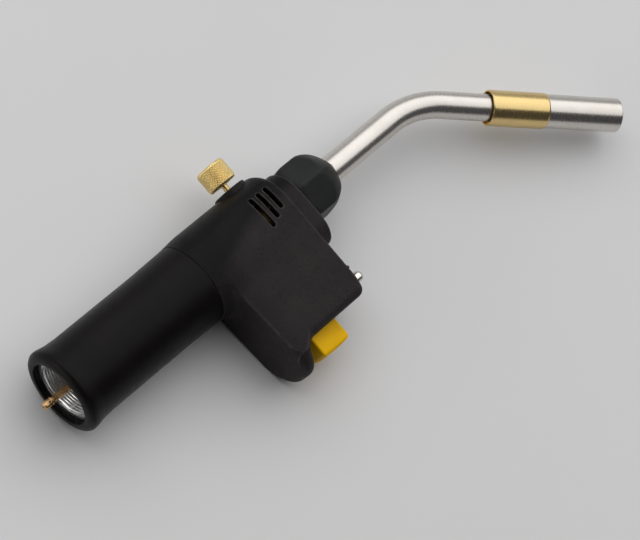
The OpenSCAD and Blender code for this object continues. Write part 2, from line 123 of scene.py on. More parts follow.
def rounded(pts, seg=5):
    """Closed 2D outline with rounded corners. pts: (a, b) or (a, b, radius)."""
    out = []
    n = len(pts)
    for i in range(n):
        p = np.array(pts[i][:2], float)
        r = pts[i][2] if len(pts[i]) > 2 else 0
        if r <= 0:
            out.append(p)
            continue
        a = np.array(pts[i - 1][:2], float) - p
        b = np.array(pts[(i + 1) % n][:2], float) - p
        la, lb = np.linalg.norm(a), np.linalg.norm(b)
        a, b = a / la, b / lb
        ang = math.acos(max(-1, min(1, float(a @ b))))
        if ang > math.pi - 1e-3:
            out.append(p)
            continue
        t = min(r / math.tan(ang / 2), la * 0.49, lb * 0.49)
        rr = t * math.tan(ang / 2)
        mid = (a + b) / np.linalg.norm(a + b)
        c = p + mid * (rr / math.sin(ang / 2))
        s, e = p + a * t, p + b * t
        a0 = math.atan2(*(s - c)[::-1])
        a1 = math.atan2(*(e - c)[::-1])
        d = (a1 - a0 + math.pi) % (2 * math.pi) - math.pi
        k = max(2, int(round(seg * abs(d) / (math.pi / 2))) + 1)
        for q in range(k + 1):
            w = a0 + d * q / k
            out.append(c + rr * np.array([math.cos(w), math.sin(w)]))
    return np.array(out)


def axis_y(r, a, th):
    return np.stack([r * np.cos(th), a, r * np.sin(th)], -1)


def axis_x(y0):
    def f(r, a, th):
        return np.stack([a, y0 + r * np.cos(th), r * np.sin(th)], -1)

    return f


def axis_burner(d0=0.0):
    """a runs along the straight part after the bend, from d0."""

    def f(r, a, th):
        q = r * np.cos(th)
        s = a + d0
        return np.stack(
            [BEND_END[0] + s * TX + q * TY, BEND_END[1] + s * TY - q * TX, r * np.sin(th)], -1
        )

    return f


def lathe(name, outline, mat, place=axis_y, seg=96, sharp=30, radius=None, **kw):
    """Closed outline of (radius, along) turned about an axis. radius(r, a, th) may change the radius."""
    o = np.asarray(outline, float)
    n = len(o)
    th = np.arange(seg) * 2 * math.pi / seg
    R, T = np.meshgrid(o[:, 0], th, indexing="ij")
    A = np.meshgrid(o[:, 1], th, indexing="ij")[0]
    if radius is not None:
        R = radius(R, A, T)
    V = place(R, A, T).reshape(-1, 3)
    i, j = np.meshgrid(np.arange(n), np.arange(seg), indexing="ij")
    i2, j2 = (i + 1) % n, (j + 1) % seg
    live = ~((o[:, 0] < 1e-6) & (o[(np.arange(n) + 1) % n, 0] < 1e-6))
    F = np.stack([i * seg + j, i2 * seg + j, i2 * seg + j2, i * seg + j2], -1)[live]
    F = F.reshape(-1, 4)
    co = np.stack([R * T, A, np.zeros_like(R)], -1).reshape(-1, 3)
    return make(name, V, F, mat, sharp=sharp, recalc=True, extra={"along": co}, **kw)


# ------------------------------------------------------------------ rounded solids from distance functions
def rmax(a, b, k):
    """Intersection with a round edge of radius k."""
    return np.minimum(np.maximum(a, b), -k) + np.hypot(
        np.maximum(a + k, 0), np.maximum(b + k, 0)
    )


def rmin(a, b, k):
    """Union with a round fillet of radius k."""
    return np.maximum(np.minimum(a, b), k) - np.hypot(
        np.maximum(k - a, 0), np.maximum(k - b, 0)
    )


def smin(a, b, k):
    h = np.maximum(k - np.abs(a - b), 0) / k
    return np.minimum(a, b) - h * h * k * 0.25


def ease(t):
    t = np.clip(t, 0, 1)
    return t * t * (3 - 2 * t)


def box2(u, v, hu, hv, r):
    """2D rounded rectangle."""
    qu, qv = np.abs(u) - hu + r, np.abs(v) - hv + r
    return np.minimum(np.maximum(qu, qv), 0) + np.hypot(np.maximum(qu, 0), np.maximum(qv, 0)) - r


def nets(fn, lo, hi, h, relax=2):
    """Closed quad mesh of fn < 0, with each point moved onto the exact surface. Gives points, faces, normals and an
    edge mask that paints convex edges lighter, partly as rubbing from use and partly as a painted highlight.
    """
    ax = [np.arange(a - h, b + 2 * h, h) for a, b in zip(lo, hi)]
    nx, ny, nz = (len(a) for a in ax)
    D = np.empty((nx, ny, nz), np.float32)
    step = max(1, int(3e5 // (ny * nz)))
    for i in range(0, nx, step):
        X, Y, Z = np.meshgrid(ax[0][i : i + step], ax[1], ax[2], indexing="ij")
        D[i : i + step] = fn(X, Y, Z)
    D[np.abs(D) < 1e-5] = 1e-5
    S = D < 0
    C = np.zeros((nx - 1, ny - 1, nz - 1), np.uint8)
    for a in (0, 1):
        for b in (0, 1):
            for c in (0, 1):
                C += S[a : nx - 1 + a, b : ny - 1 + b, c : nz - 1 + c]
    act = (C > 0) & (C < 8)
    idx = np.full(act.shape, -1, np.int64)
    cells = np.argwhere(act)
    idx[act] = np.arange(len(cells))
    P = np.zeros((len(cells), 3))
    cnt = np.zeros(len(cells))
    for axis in range(3):
        o1, o2 = [q for q in range(3) if q != axis]
        for a in (0, 1):
            for b in (0, 1):
                off = np.zeros(3, int)
                off[o1], off[o2] = a, b
                p0 = cells + off
                p1 = p0.copy()
                p1[:, axis] += 1
                d0, d1 = D[tuple(p0.T)], D[tuple(p1.T)]
                cr = (d0 < 0) != (d1 < 0)
                t = np.where(cr, d0 / np.where(d0 == d1, 1, d0 - d1), 0)
                q = np.zeros((len(cells), 3))
                q[:, o1], q[:, o2], q[:, axis] = a, b, t
                P += q * cr[:, None]
                cnt += cr
    V = np.array([a[0] for a in ax]) + (cells + P / cnt[:, None]) * h
    F = []
    for axis in range(3):
        o1, o2 = (axis + 1) % 3, (axis + 2) % 3
        sl0, sl1 = [slice(1, -1)] * 3, [slice(1, -1)] * 3
        sl0[axis], sl1[axis] = slice(0, -1), slice(1, None)
        s0, s1 = S[tuple(sl0)], S[tuple(sl1)]
        e = np.argwhere(s0 != s1)
        inside_first = s0[tuple(e.T)]
        base = e.copy()
        base[:, o1] += 1
        base[:, o2] += 1
        quad = []
        for a, b in ((-1, -1), (0, -1), (0, 0), (-1, 0)):
            c = base.copy()
            c[:, o1] += a
            c[:, o2] += b
            quad.append(idx[tuple(c.T)])
        q = np.stack(quad, 1)
        q[~inside_first] = q[~inside_first][:, ::-1]
        F.append(q)
    F = np.concatenate(F)

    def ev(p):
        return fn(p[:, 0], p[:, 1], p[:, 2])

    def grad(p, e=0.02):
        g = np.empty_like(p)
        for a in range(3):
            d = np.zeros(3)
            d[a] = e
            g[:, a] = (ev(p + d) - ev(p - d)) / (2 * e)
        return g

    def project(p, n):
        for _ in range(n):
            g = grad(p)
            s = ev(p) / np.maximum((g * g).sum(1), 0.25)
            p = p - np.clip(s, -h, h)[:, None] * g
        return p

    V = project(V, 2)
    edges = np.concatenate([F[:, [0, 1]], F[:, [1, 2]], F[:, [2, 3]], F[:, [3, 0]]])
    for _ in range(relax):
        acc = np.zeros_like(V)
        num = np.bincount(edges[:, 0], minlength=len(V)) + np.bincount(
            edges[:, 1], minlength=len(V)
        )
        for a in range(3):
            acc[:, a] = np.bincount(edges[:, 0], V[edges[:, 1], a], len(V)) + np.bincount(
                edges[:, 1], V[edges[:, 0], a], len(V)
            )
        W = V * 0.5 + 0.5 * acc / num[:, None]
        V = project(W, 1)
    V = project(V, 2)
    g = grad(V)
    N = g / np.maximum(np.linalg.norm(g, axis=1), 1e-9)[:, None]
    # convex edges: how fast the surface falls away beside each point
    ref = np.where(np.abs(N[:, [0]]) < 0.8, [[1.0, 0, 0]], [[0, 1.0, 0]])
    t1 = np.cross(N, ref)
    t1 /= np.linalg.norm(t1, axis=1)[:, None]
    t2 = np.cross(N, t1)
    e = 0.6
    fall = sum(ev(V + s * e * t) for t in (t1, t2) for s in (-1, 1)) / (4 * e)
    # lighter convex edges: partly rubbing from use, partly a painted highlight along each edge
    edge_wear_and_highlight = np.clip((fall - 0.05) / 0.25, 0, 1)
    return V, F, N, edge_wear_and_highlight


def solid(name, fn, lo, hi, h, mat, **kw):
    V, F, N, edge_wear_and_highlight = nets(fn, lo, hi, h)
    # the lighter edges fade out towards the seam at y 79, so there is no painted edge highlight or rubbing there
    edge_wear_and_highlight = edge_wear_and_highlight * ease((V[:, 1] - 79) / 4)
    # grain panels: the flat faces of the block, not the round back
    grained = ease((V[:, 0] + 9 + 0.35 * (V[:, 1] - 112) * (V[:, 1] < 112)) / 9)
    # painted shade: the panel colour falls to 55 percent on the guard lip below y 86; painted light: faces turned
    # towards -y keep the full panel colour
    grained = grained * (0.55 + 0.45 * np.maximum(ease((V[:, 1] - 86) / 10), ease((-N[:, 1] - 0.35) / 0.35)))
    ob = make(name, V, F, mat, normals=N, extra={"edge_wear_and_highlight": edge_wear_and_highlight, "grained": grained}, **kw)
    return ob


# ------------------------------------------------------------------ materials
def nt(name):
    m = bpy.data.materials.new(name)
    m.use_nodes = True
    t = m.node_tree
    b = t.nodes["Principled BSDF"]
    return m, t, b


def node(t, kind, **props):
    n = t.nodes.new(kind)
    for k, v in props.items():
        if k.startswith("in_"):
            key = k[3:]
            n.inputs[int(key) if key.isdigit() else key.replace("_", " ")].default_value = v
        else:
            setattr(n, k, v)
    return n


def coords(t, stretch=(1, 1, 1), attr=None):
    """Position in mm, stretched. With attr, the piece's own running coordinates."""
    if attr:
        c = node(t, "ShaderNodeAttribute", attribute_name=attr)
        out = c.outputs["Vector"]
        k = 1.0
    else:
        c = node(t, "ShaderNodeTexCoord")
        out = c.outputs["Object"]
        k = 1000.0
    m = node(t, "ShaderNodeMapping")
    m.inputs["Scale"].default_value = [k * s for s in stretch]
    t.links.new(out, m.inputs["Vector"])
    return m.outputs["Vector"]


def noise(t, vec, scale, detail=2.0, rough=0.5, dist=0.0):
    n = node(t, "ShaderNodeTexNoise", in_Scale=scale, in_Detail=detail, in_Roughness=rough,
             in_Distortion=dist)
    t.links.new(vec, n.inputs["Vector"])
    return n.outputs["Fac"]


def math_(t, op, a, b=None, clamp=False):
    n = node(t, "ShaderNodeMath", operation=op, use_clamp=clamp)
    for i, v in enumerate((a, b)):
        if v is None:
            continue
        if isinstance(v, (int, float)):
            n.inputs[i].default_value = v
        else:
            t.links.new(v, n.inputs[i])
    return n.outputs[0]


def span(t, v, a, b, c, d):
    """v from a..b mapped to c..d."""
    n = node(t, "ShaderNodeMapRange")
    t.links.new(v, n.inputs["Value"])
    for k, x in zip(("From Min", "From Max", "To Min", "To Max"), (a, b, c, d)):
        n.inputs[k].default_value = x
    return n.outputs["Result"]


def mix(t, fac, a, b):
    n = node(t, "ShaderNodeMix", data_type="RGBA")
    for key, v in (("Factor", fac), ("A", a), ("B", b)):
        sock = [s for s in n.inputs if s.name == key and (key == "Factor" or s.type == "RGBA")][0]
        if isinstance(v, (int, float)):
            sock.default_value = v
        elif isinstance(v, (tuple, list)):
            sock.default_value = (*v[:3], 1.0)
        else:
            t.links.new(v, sock)
    return [s for s in n.outputs if s.type == "RGBA"][0]


def bump(t, height, dist_mm, strength=1.0, prev=None):
    n = node(t, "ShaderNodeBump", in_Strength=strength, in_Distance=dist_mm * 0.001)
    t.links.new(height, n.inputs["Height"])
    if prev is not None:
        t.links.new(prev, n.inputs["Normal"])
    return n.outputs["Normal"]


def moulded(name, colour, rough, grain_mm=0.8, grain=0.03, fine=0.006, edge_wear_and_highlight=0.0, coat=0.0,
            spec=0.5, panel=None, edge_wear_and_highlight_colour=None):
    """Moulded plastic: leathery grain, fine pitting, faint colour drift, lighter edges that are partly rubbed by use
    and partly a painted highlight, and a panel mask that also holds painted shade and painted light.
    """
    m, t, b = nt(name)
    v = coords(t)
    drift = noise(t, v, 0.06, 3, 0.6)
    specks = noise(t, v, 2.2, 2, 0.6)
    c1 = tuple(x * 0.82 for x in colour)
    c2 = tuple(x * 1.22 for x in colour)
    col = mix(t, span(t, drift, 0.3, 0.7, 0, 1), c1, c2)
    col = mix(t, span(t, specks, 0.62, 0.78, 0, 0.35), col, tuple(x * 1.9 + 0.004 for x in colour))
    ro = span(t, noise(t, v, 0.35, 4, 0.65), 0.3, 0.7, rough - 0.05, rough + 0.06)
    mask = None
    if panel:
        # the panel mask also carries painted shade on the guard lip and painted light on faces turned towards -y
        mask = node(t, "ShaderNodeAttribute", attribute_name="grained").outputs["Fac"]
        mask = math_(t, "MULTIPLY", mask, span(t, noise(t, v, 0.15, 3, 0.6), 0.3, 0.7, 0.85, 1.0))
        pc = mix(t, span(t, drift, 0.3, 0.7, 0, 1), tuple(x * 0.90 for x in panel), tuple(x * 1.14 for x in panel))
        blot = noise(t, v, 0.75, 3, 0.7, 0.6)
        pc = mix(t, span(t, blot, 0.52, 0.68, 0, 0.55), pc, tuple(x * 0.45 for x in panel))
        col = mix(t, mask, col, pc)
        ro = math_(t, "ADD", ro, math_(t, "MULTIPLY", mask, 0.12))
    # edges painted lighter: partly rubbing from use, partly a painted highlight
    if edge_wear_and_highlight > 0:
        w = node(t, "ShaderNodeAttribute", attribute_name="edge_wear_and_highlight").outputs["Fac"]
        patch = span(t, noise(t, v, 0.5, 4, 0.7), 0.35, 0.65, 0.25, 1.0)
        w = math_(t, "MULTIPLY", w, patch)
        w = math_(t, "MULTIPLY", w, edge_wear_and_highlight)
        col = mix(t, w, col, edge_wear_and_highlight_colour or tuple(min(1, x * 2.6 + 0.012) for x in colour))
        ro = math_(t, "SUBTRACT", ro, math_(t, "MULTIPLY", w, 0.12))
    t.links.new(col, b.inputs["Base Color"])
    t.links.new(ro, b.inputs["Roughness"])
    # grain: cells with creases between them, broken up by noise
    warp = node(t, "ShaderNodeVectorMath", operation="MULTIPLY_ADD")
    nz = node(t, "ShaderNodeTexNoise", in_Scale=0.9 / grain_mm, in_Detail=2.0)
    t.links.new(v, nz.inputs["Vector"])
    t.links.new(nz.outputs["Color"], warp.inputs[0])
    warp.inputs[1].default_value = (grain_mm * 0.9,) * 3
    t.links.new(v, warp.inputs[2])
    vo = node(t, "ShaderNodeTexVoronoi", feature="DISTANCE_TO_EDGE", in_Scale=1.0 / grain_mm)
    t.links.new(warp.outputs[0], vo.inputs["Vector"])
    cells = span(t, vo.outputs["Distance"], 0.0, 0.22, 0.0, 1.0)
    if mask is not None:
        cells = math_(t, "MULTIPLY", cells, span(t, mask, 0, 1, 0.12, 1.0))
    nrm = bump(t, cells, grain, 1.0)
    nrm = bump(t, noise(t, v, 5.0, 3, 0.6), fine, 1.0, nrm)
    t.links.new(nrm, b.inputs["Normal"])
    b.inputs["IOR"].default_value = 1.5
    b.inputs["Specular IOR Level"].default_value = spec
    b.inputs["Coat Weight"].default_value = coat
    b.inputs["Coat Roughness"].default_value = 0.15
    return m


def metal(name, colour, rough, lines=None, line_h=0.002, attr="along", tarnish=0.25,
          tarnish_colour=None, pits=0.0015, aniso=0.0):
    """Metal: drift in tone, fine machining or brushing lines, small dents in roughness."""
    m, t, b = nt(name)
    v = coords(t)
    b.inputs["Metallic"].default_value = 1.0
    dark = tarnish_colour or tuple(x * 0.62 for x in colour)
    drift = noise(t, v, 0.12, 5, 0.65)
    col = mix(t, span(t, drift, 0.42, 0.75, 0, tarnish), colour, dark)
    if lines:
        lv = coords(t, lines, attr)
        ln = noise(t, lv, 1.0, 4, 0.7)
        col = mix(t, span(t, ln, 0.3, 0.75, 0.0, 0.30), col, tuple(x * 0.78 for x in colour))
        ro = span(t, ln, 0.3, 0.7, rough - 0.05, rough + 0.07)
        nrm = bump(t, ln, line_h, 1.0)
        nrm = bump(t, noise(t, v, 3.0, 3, 0.6), pits, 1.0, nrm)
    else:
        ro = span(t, noise(t, v, 0.8, 4, 0.65), 0.3, 0.7, rough - 0.05, rough + 0.08)
        nrm = bump(t, noise(t, v, 3.0, 3, 0.6), pits, 1.0)
    t.links.new(col, b.inputs["Base Color"])
    t.links.new(ro, b.inputs["Roughness"])
    t.links.new(nrm, b.inputs["Normal"])
    return m


def plain(name, colour, rough, metallic=0.0, size=0.5, height=0.004, vary=0.2):
    """Hidden inner parts: a simple procedural finish."""
    m, t, b = nt(name)
    v = coords(t)
    n1 = noise(t, v, 1.0 / size, 3, 0.6)
    col = mix(t, span(t, n1, 0.35, 0.65, 0, 1), tuple(x * (1 - vary) for x in colour),
              tuple(min(1, x * (1 + vary * 0.5)) for x in colour))
    t.links.new(col, b.inputs["Base Color"])
    t.links.new(span(t, n1, 0.3, 0.7, rough - 0.06, rough + 0.08), b.inputs["Roughness"])
    t.links.new(bump(t, noise(t, v, 4.0 / size, 2, 0.5), height), b.inputs["Normal"])
    b.inputs["Metallic"].default_value = metallic
    return m


# housing and nut edges are painted much lighter than the plastic: partly rubbing from use, partly a painted highlight
M_HOUSING = moulded("HousingPlastic", (0.0050, 0.0046, 0.0046), 0.42, 0.95, 0.090, 0.006, edge_wear_and_highlight=1.0, spec=0.098,
                    panel=(0.0315, 0.0270, 0.0277), edge_wear_and_highlight_colour=(0.120, 0.112, 0.108))
M_GRIP = moulded("GripPlastic", (0.0056, 0.0046, 0.0044), 0.36, 0.6, 0.014, 0.004, edge_wear_and_highlight=0.0, spec=0.10)
M_NUT = moulded("NutPlastic", (0.0205, 0.0215, 0.0212), 0.42, 0.5, 0.010, 0.005, edge_wear_and_highlight=0.35, spec=0.15,
                edge_wear_and_highlight_colour=(0.045, 0.045, 0.045))
M_BEZEL = moulded("BezelPlastic", (0.008, 0.008, 0.007), 0.45, 0.5, 0.010, 0.004, edge_wear_and_highlight=0.0, spec=0.15)
M_YELLOW = moulded("YellowPlastic", (1.0, 0.555, 0.0006), 0.32, 0.5, 0.004, 0.003, spec=0.10)
M_STEEL = metal("SatinStainless", (0.70, 0.665, 0.62), 0.27, lines=(0.35, 7.0, 1), line_h=0.0016, tarnish=0.25)
M_BURNER = metal("BurnerStainless", (0.69, 0.655, 0.61), 0.25, lines=(0.5, 6.0, 1), line_h=0.0015, tarnish=0.3,
                 tarnish_colour=(0.50, 0.45, 0.40))
M_BRASS = metal("TurnedBrass", (0.80, 0.60, 0.27), 0.24, lines=(0.2, 9.0, 1), line_h=0.0015, tarnish=0.3)
M_KNOB = metal("KnurledBrass", (0.98, 0.76, 0.345), 0.34, tarnish=0.25, pits=0.003)
M_COPPERY = metal("ProbeBrass", (0.72, 0.45, 0.22), 0.26, lines=(0.2, 8.0, 1), line_h=0.0012, tarnish=0.35)
M_NICKEL = metal("BrightNickel", (0.74, 0.72, 0.68), 0.20, tarnish=0.2, pits=0.001)
M_ZINC = metal("ConnectorZinc", (0.76, 0.76, 0.75), 0.26, lines=(0.2, 5.0, 1), line_h=0.002, tarnish=0.25)

INNER = {
    "steel": plain("InnerSteel", (0.55, 0.54, 0.52), 0.35, 1.0),
    "brass": plain("InnerBrass", (0.72, 0.54, 0.25), 0.35, 1.0),
    "nickel": plain("InnerNickel", (0.66, 0.65, 0.62), 0.3, 1.0),
    "zinc": plain("InnerZinc", (0.60, 0.60, 0.60), 0.4, 1.0),
    "copper": plain("InnerCopper", (0.70, 0.38, 0.24), 0.35, 1.0),
    "rubber": plain("InnerRubber", (0.018, 0.018, 0.018), 0.7, 0.0, 0.3, 0.01),
    "ceramic": plain("InnerCeramic", (0.78, 0.76, 0.70), 0.45, 0.0, 0.4, 0.006),
    "white_plastic": plain("InnerWhitePlastic", (0.66, 0.66, 0.62), 0.45, 0.0, 0.6, 0.006),
    "dull_brass": plain("DullBrass", (0.085, 0.055, 0.022), 0.55, 1.0),
    "black_plastic": plain("InnerBlackPlastic", (0.02, 0.02, 0.02), 0.5, 0.0, 0.6, 0.01),
    "lead_jacket": plain("LeadJacket", (0.50, 0.03, 0.02), 0.45, 0.0, 0.4, 0.008),
    "screw_zinc": plain("ScrewZinc", (0.62, 0.61, 0.58), 0.32, 1.0, 0.4, 0.004),
}
INNER_OF = {
    "housing_screws": "screw_zinc", "connector_seal": "rubber", "inlet_filter": "copper",
    "regulator_body": "zinc", "regulator_poppet": "brass", "regulator_diaphragm": "rubber",
    "regulator_cap": "zinc", "regulator_spring": "steel", "supply_tube": "copper",
    "supply_o_rings": "rubber", "valve_block": "dull_brass", "valve_seat": "rubber",
    "valve_poppet": "brass", "poppet_spring": "steel", "valve_lever": "steel",
    "lever_pin": "steel", "stem_o_ring": "rubber", "gas_jet": "brass", "air_cage": "dull_brass",
    "tube_collar": "brass", "tube_olive": "brass", "flame_swirler": "brass",
    "electrode_insulator": "ceramic", "electrode": "steel", "ignition_lead": "lead_jacket",
    "piezo_case": "white_plastic", "piezo_plunger": "black_plastic", "trigger_spring": "steel",
    "lock_spring": "steel", "lock_guide": "steel",
}
for n_, k_ in INNER_OF.items():
    o_ = NODES[n_]
    o_.data.materials.clear()
    o_.data.materials.append(INNER[k_])

# each spring gets its own copy of its mesh; the press joint, axis, anchor point and kept share listed with it are not
# used
for n_, j_, ax_, an_, keep_ in (
    ("trigger_spring", "trigger_press", (1, 0, 0), (34.0, 108.4, 0), 0.46),
    ("poppet_spring", "trigger_press", (1, 0, 0), (3.0, 93.88, 0), 0.77),
    ("lock_spring", "lock_press", (0, 1, 0), (43.6, 121.6, 0), 0.69),
):
    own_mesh(NODES[n_])

# ------------------------------------------------------------------ head: two moulded halves
SEAM_Y, HEAD_TOP, SEAT_TOP = 77.5, 132.4, 139.4
SCREWS = [(24, 88.6), (41, 91), (30, 126.4), (-13.4, 91)]
LOCK_X, KNOB_Y, TRIG_Y = 43.6, 120.0, 108.4
VENTS = [(126.6, -0.2), (122.2, 2.0), (117.8, 4.0)]


def head_base(x, y, z):
    """Outer shape without the raised seat: round back, flat-sided block and guard lip."""
    az = np.abs(z)
    r = np.hypot(x, z)
    side = az - 16.5
    bot = (84.3 + np.clip(x - 12, 0, 60) * 0.0545) - y
    kb = 1.1 + 2.7 * ease((x - 47) / 8)
    plan = np.maximum(rmax(x - 50.2, side, 4.0), 6 - x)
    block = rmax(plan, bot, 1.1)
    lip_d = rmax(x - 61.8, side, 13.5)
    lip = rmax(rmax(lip_d, bot, kb), y - 94.2, 3.0)
    front = rmin(block, lip, 6.1)
    front = np.maximum(np.maximum(front, rmax(side, bot, kb)), 6 - x)
    # the flat sides of the block run on across the round back towards the top
    flat = az - (16.6 + 3.9 * (1 - ease((y - 87) / 26)))
    back = rmax(r - 20.2 + 0.6 * (1 - ease((y - 77) / 9)), flat, 3.0)
    body = smin(back, front, 0.5 + 4.3 * (1 - ease((y - 90) / 22)))
    wide = ease((x + 13) / 9)
    nose = ease((x - 42) / 6)
    kt = 4.4 * (1 - wide) + 1.4 * wide
    kt = kt * (1 - nose) + 4.5 * nose * (1 - 0.45 * ease((az - 10) / 6)) + 1.5 * nose * 0.45 * ease((az - 10) / 6)
    body = rmax(body, y - HEAD_TOP, kt)
    return rmax(body, SEAM_Y - y, 0.3)


def head_outer(x, y, z):
    body = head_base(x, y, z)
    r = np.hypot(x, z)
    seat = np.where(x < 0, r - 14.9, rmax(x - 24.3, np.abs(z) - 14.9, 11.0))
    seat = rmax(seat, y - SEAT_TOP, 0.7)
    seat = np.maximum(seat, 128 - y)
    body = rmin(body, seat, 0.7)
    ridge = rmax(box2(x - 37.4, y - (HEAD_TOP + 0.6), 0.8, 1.6, 0.5), np.abs(z) - 13, 0.6)
    return rmin(body, ridge, 0.35)


def head_shell(x, y, z, left):
    outer = head_outer(x, y, z)
    inner = np.minimum(head_base(x, y, z) + 2.4, np.maximum(np.hypot(x, z) - 17.8, y - 87))
    s = np.maximum(outer, -inner)
    boss = np.full(np.shape(x), 1e3)
    for px, py in SCREWS:
        boss = np.minimum(boss, np.hypot(x - px, y - py) - 3.8)
    s = np.minimum(s, np.maximum(boss, outer + 1.0))
    # tube bore, adjuster window, trigger slot, lock hole
    r = np.hypot(x, z)
    s = rmax(s, -np.maximum(r - 10.1, 124 - y), 0.35)
    s = rmax(s, -np.maximum(np.hypot(y - KNOB_Y, z) - 8.05, x + 10), 0.4)
    s = rmax(s, -np.maximum(box2(y - TRIG_Y, z, 7.95, 7.25, 1.0), 46.5 - x), 0.4)
    s = rmax(s, -np.maximum(np.hypot(x - LOCK_X, z) - 2.62, 127 - y), 0.3)
    # slanted air slots
    c3, s3 = math.cos(math.radians(3)), math.sin(math.radians(3))
    u, v0 = x * c3, x * s3
    for vy, vx in VENTS:
        w = (y - vy) * c3 - x * s3
        uu = x * c3 + (y - vy) * s3
        a, b = -11.8 + 1.1, vx - 1.1
        d = np.hypot(uu - np.clip(uu, a, b), w) - 1.1
        s = rmax(s, -np.maximum(d, 8 - np.abs(z)), 0.35)
    for px, py in SCREWS:
        q = np.hypot(x - px, y - py)
        if left:
            s = rmax(s, -np.maximum(q - 2.95, z + 9.5), 0.3)
            s = np.maximum(s, -(q - 1.7))
        else:
            s = np.maximum(s, -np.maximum(q - 1.55, z - 10.5))
    # lever pin socket
    q = np.hypot(x - 34, y - 90)
    s = np.maximum(s, -np.maximum(q - 1.55, np.abs(z) - 12.5))
    return s


H_HEAD = 0.42


def half_right(x, y, z):
    return rmax(head_shell(x, y, z, False), 0.02 - z, 0.22)


def half_left(x, y, z):
    return rmax(head_shell(x, y, z, True), z + 0.02, 0.22)


solid("HousingRight", half_right, (-20.6, 77.3, 0), (62.2, 139.6, 20.6), H_HEAD, M_HOUSING,
      stands=["housing_right"], slot="black_plastic")
solid("HousingLeft", half_left, (-20.6, 77.3, -20.6), (62.2, 139.6, 0), H_HEAD, M_HOUSING,
      stands=["housing_left"], slot="black_plastic")

# ------------------------------------------------------------------ grip sleeve with its flared rim
grip = rounded([
    (15.25, 0.0, 0.25), (17.1, 0.0, 1.2), (19.0, 0.55, 2.2), (20.2, 2.2, 1.2), (20.2, 3.9, 2.6),
    (19.35, 8.2, 8.0), (19.0, 14.0, 12.0), (19.0, 58.0, 20.0), (19.5, 77.0, 0.2), (19.4, 77.42, 0.12),
    (17.7, 77.4, 0.1), (17.7, 81.0, 0.1), (16.95, 81.0, 0.1), (16.95, 83.0, 0.1), (17.7, 83.0, 0.1),
    (17.7, 86.0, 0.4), (15.25, 86.0, 0.3)], 6)


def densify(o, step):
    out = []
    for i in range(len(o)):
        a, b = o[i], o[(i + 1) % len(o)]
        k = max(1, int(np.linalg.norm(b - a) / step))
        out += [a + (b - a) * q / k for q in range(k)]
    return np.array(out)


lathe("GripSleeve", densify(grip, 2.0), M_GRIP, seg=160, sharp=40, stands=["grip_sleeve"], slot="grip_plastic")

# ------------------------------------------------------------------ threaded cylinder connector
PITCH = 1.27


def connector():
    seg = 180
    ys = np.arange(3.0, 13.45, PITCH / 10)
    th = np.arange(seg) * 2 * math.pi / seg
    bore = []
    for yv in ys:
        bore.append((12.3, yv))
    outline = [(12.75, 2.5), (14.4, 2.5), (14.95, 2.75), (15.15, 3.3), (15.15, 18.0), (8.0, 18.0),
               (8.0, 23.0), (3.05, 23.0), (3.05, 13.5), (12.3, 13.5)] + bore[::-1]
    o = np.array(outline)

    def ridge(R, A, T):
        ph = (A / PITCH - T / (2 * math.pi)) % 1.0
        tri = 1 - np.abs(2 * ph - 1)
        depth = np.clip((tri - 0.15) / 0.7, 0, 1)
        fade = np.clip((A - 3.0) / 0.6, 0, 1) * np.clip((12.6 - A) / 0.5, 0, 1)
        on = (np.abs(R - 12.3) < 1e-6) & (A < 13.4)
        return np.where(on, 12.72 - 0.62 * depth * fade, R)

    return lathe("CylinderConnector", o, M_ZINC, seg=seg, sharp=28, radius=ridge,
                 stands=["cylinder_connector"], slot="zinc")


connector()


# ------------------------------------------------------------------ inlet probe
def probe(x, y, z):
    r = np.hypot(x, z)
    nose = rmax(rmax(r - 1.8, -8.3 - y, 0.9), y + 2.6, 0.45)
    shaft = np.maximum(r - 1.42, np.maximum(-3 - y, y - 12))
    f = rmin(nose, shaft, 0.25)
    flange = rmax(rmax(r - 4.5, 11.25 - y, 0.2), y - 13.5, 0.1)
    f = np.minimum(f, flange)
    f = np.minimum(f, np.maximum(r - 2.95, np.maximum(13 - y, y - 20.9)))
    ring = np.hypot(r - 1.8, y + 4.35) - 0.16
    f = rmax(f, -ring, 0.08)
    f = rmax(f, -np.maximum(np.hypot(x, y + 5.3) - 0.5, -8.0), 0.12)
    f = rmax(f, -np.maximum(r - 0.55, -9 - y), 0.15)
    return f


solid("InletProbe", probe, (-4.6, -8.5, -4.6), (4.6, 21.0, 4.6), 0.17, M_COPPERY,
      stands=["inlet_probe"], slot="brass")

# ------------------------------------------------------------------ knurled flame knob, stem, gland, bezel
KX0, KX1, KR = -24.3, -34.7, 7.0


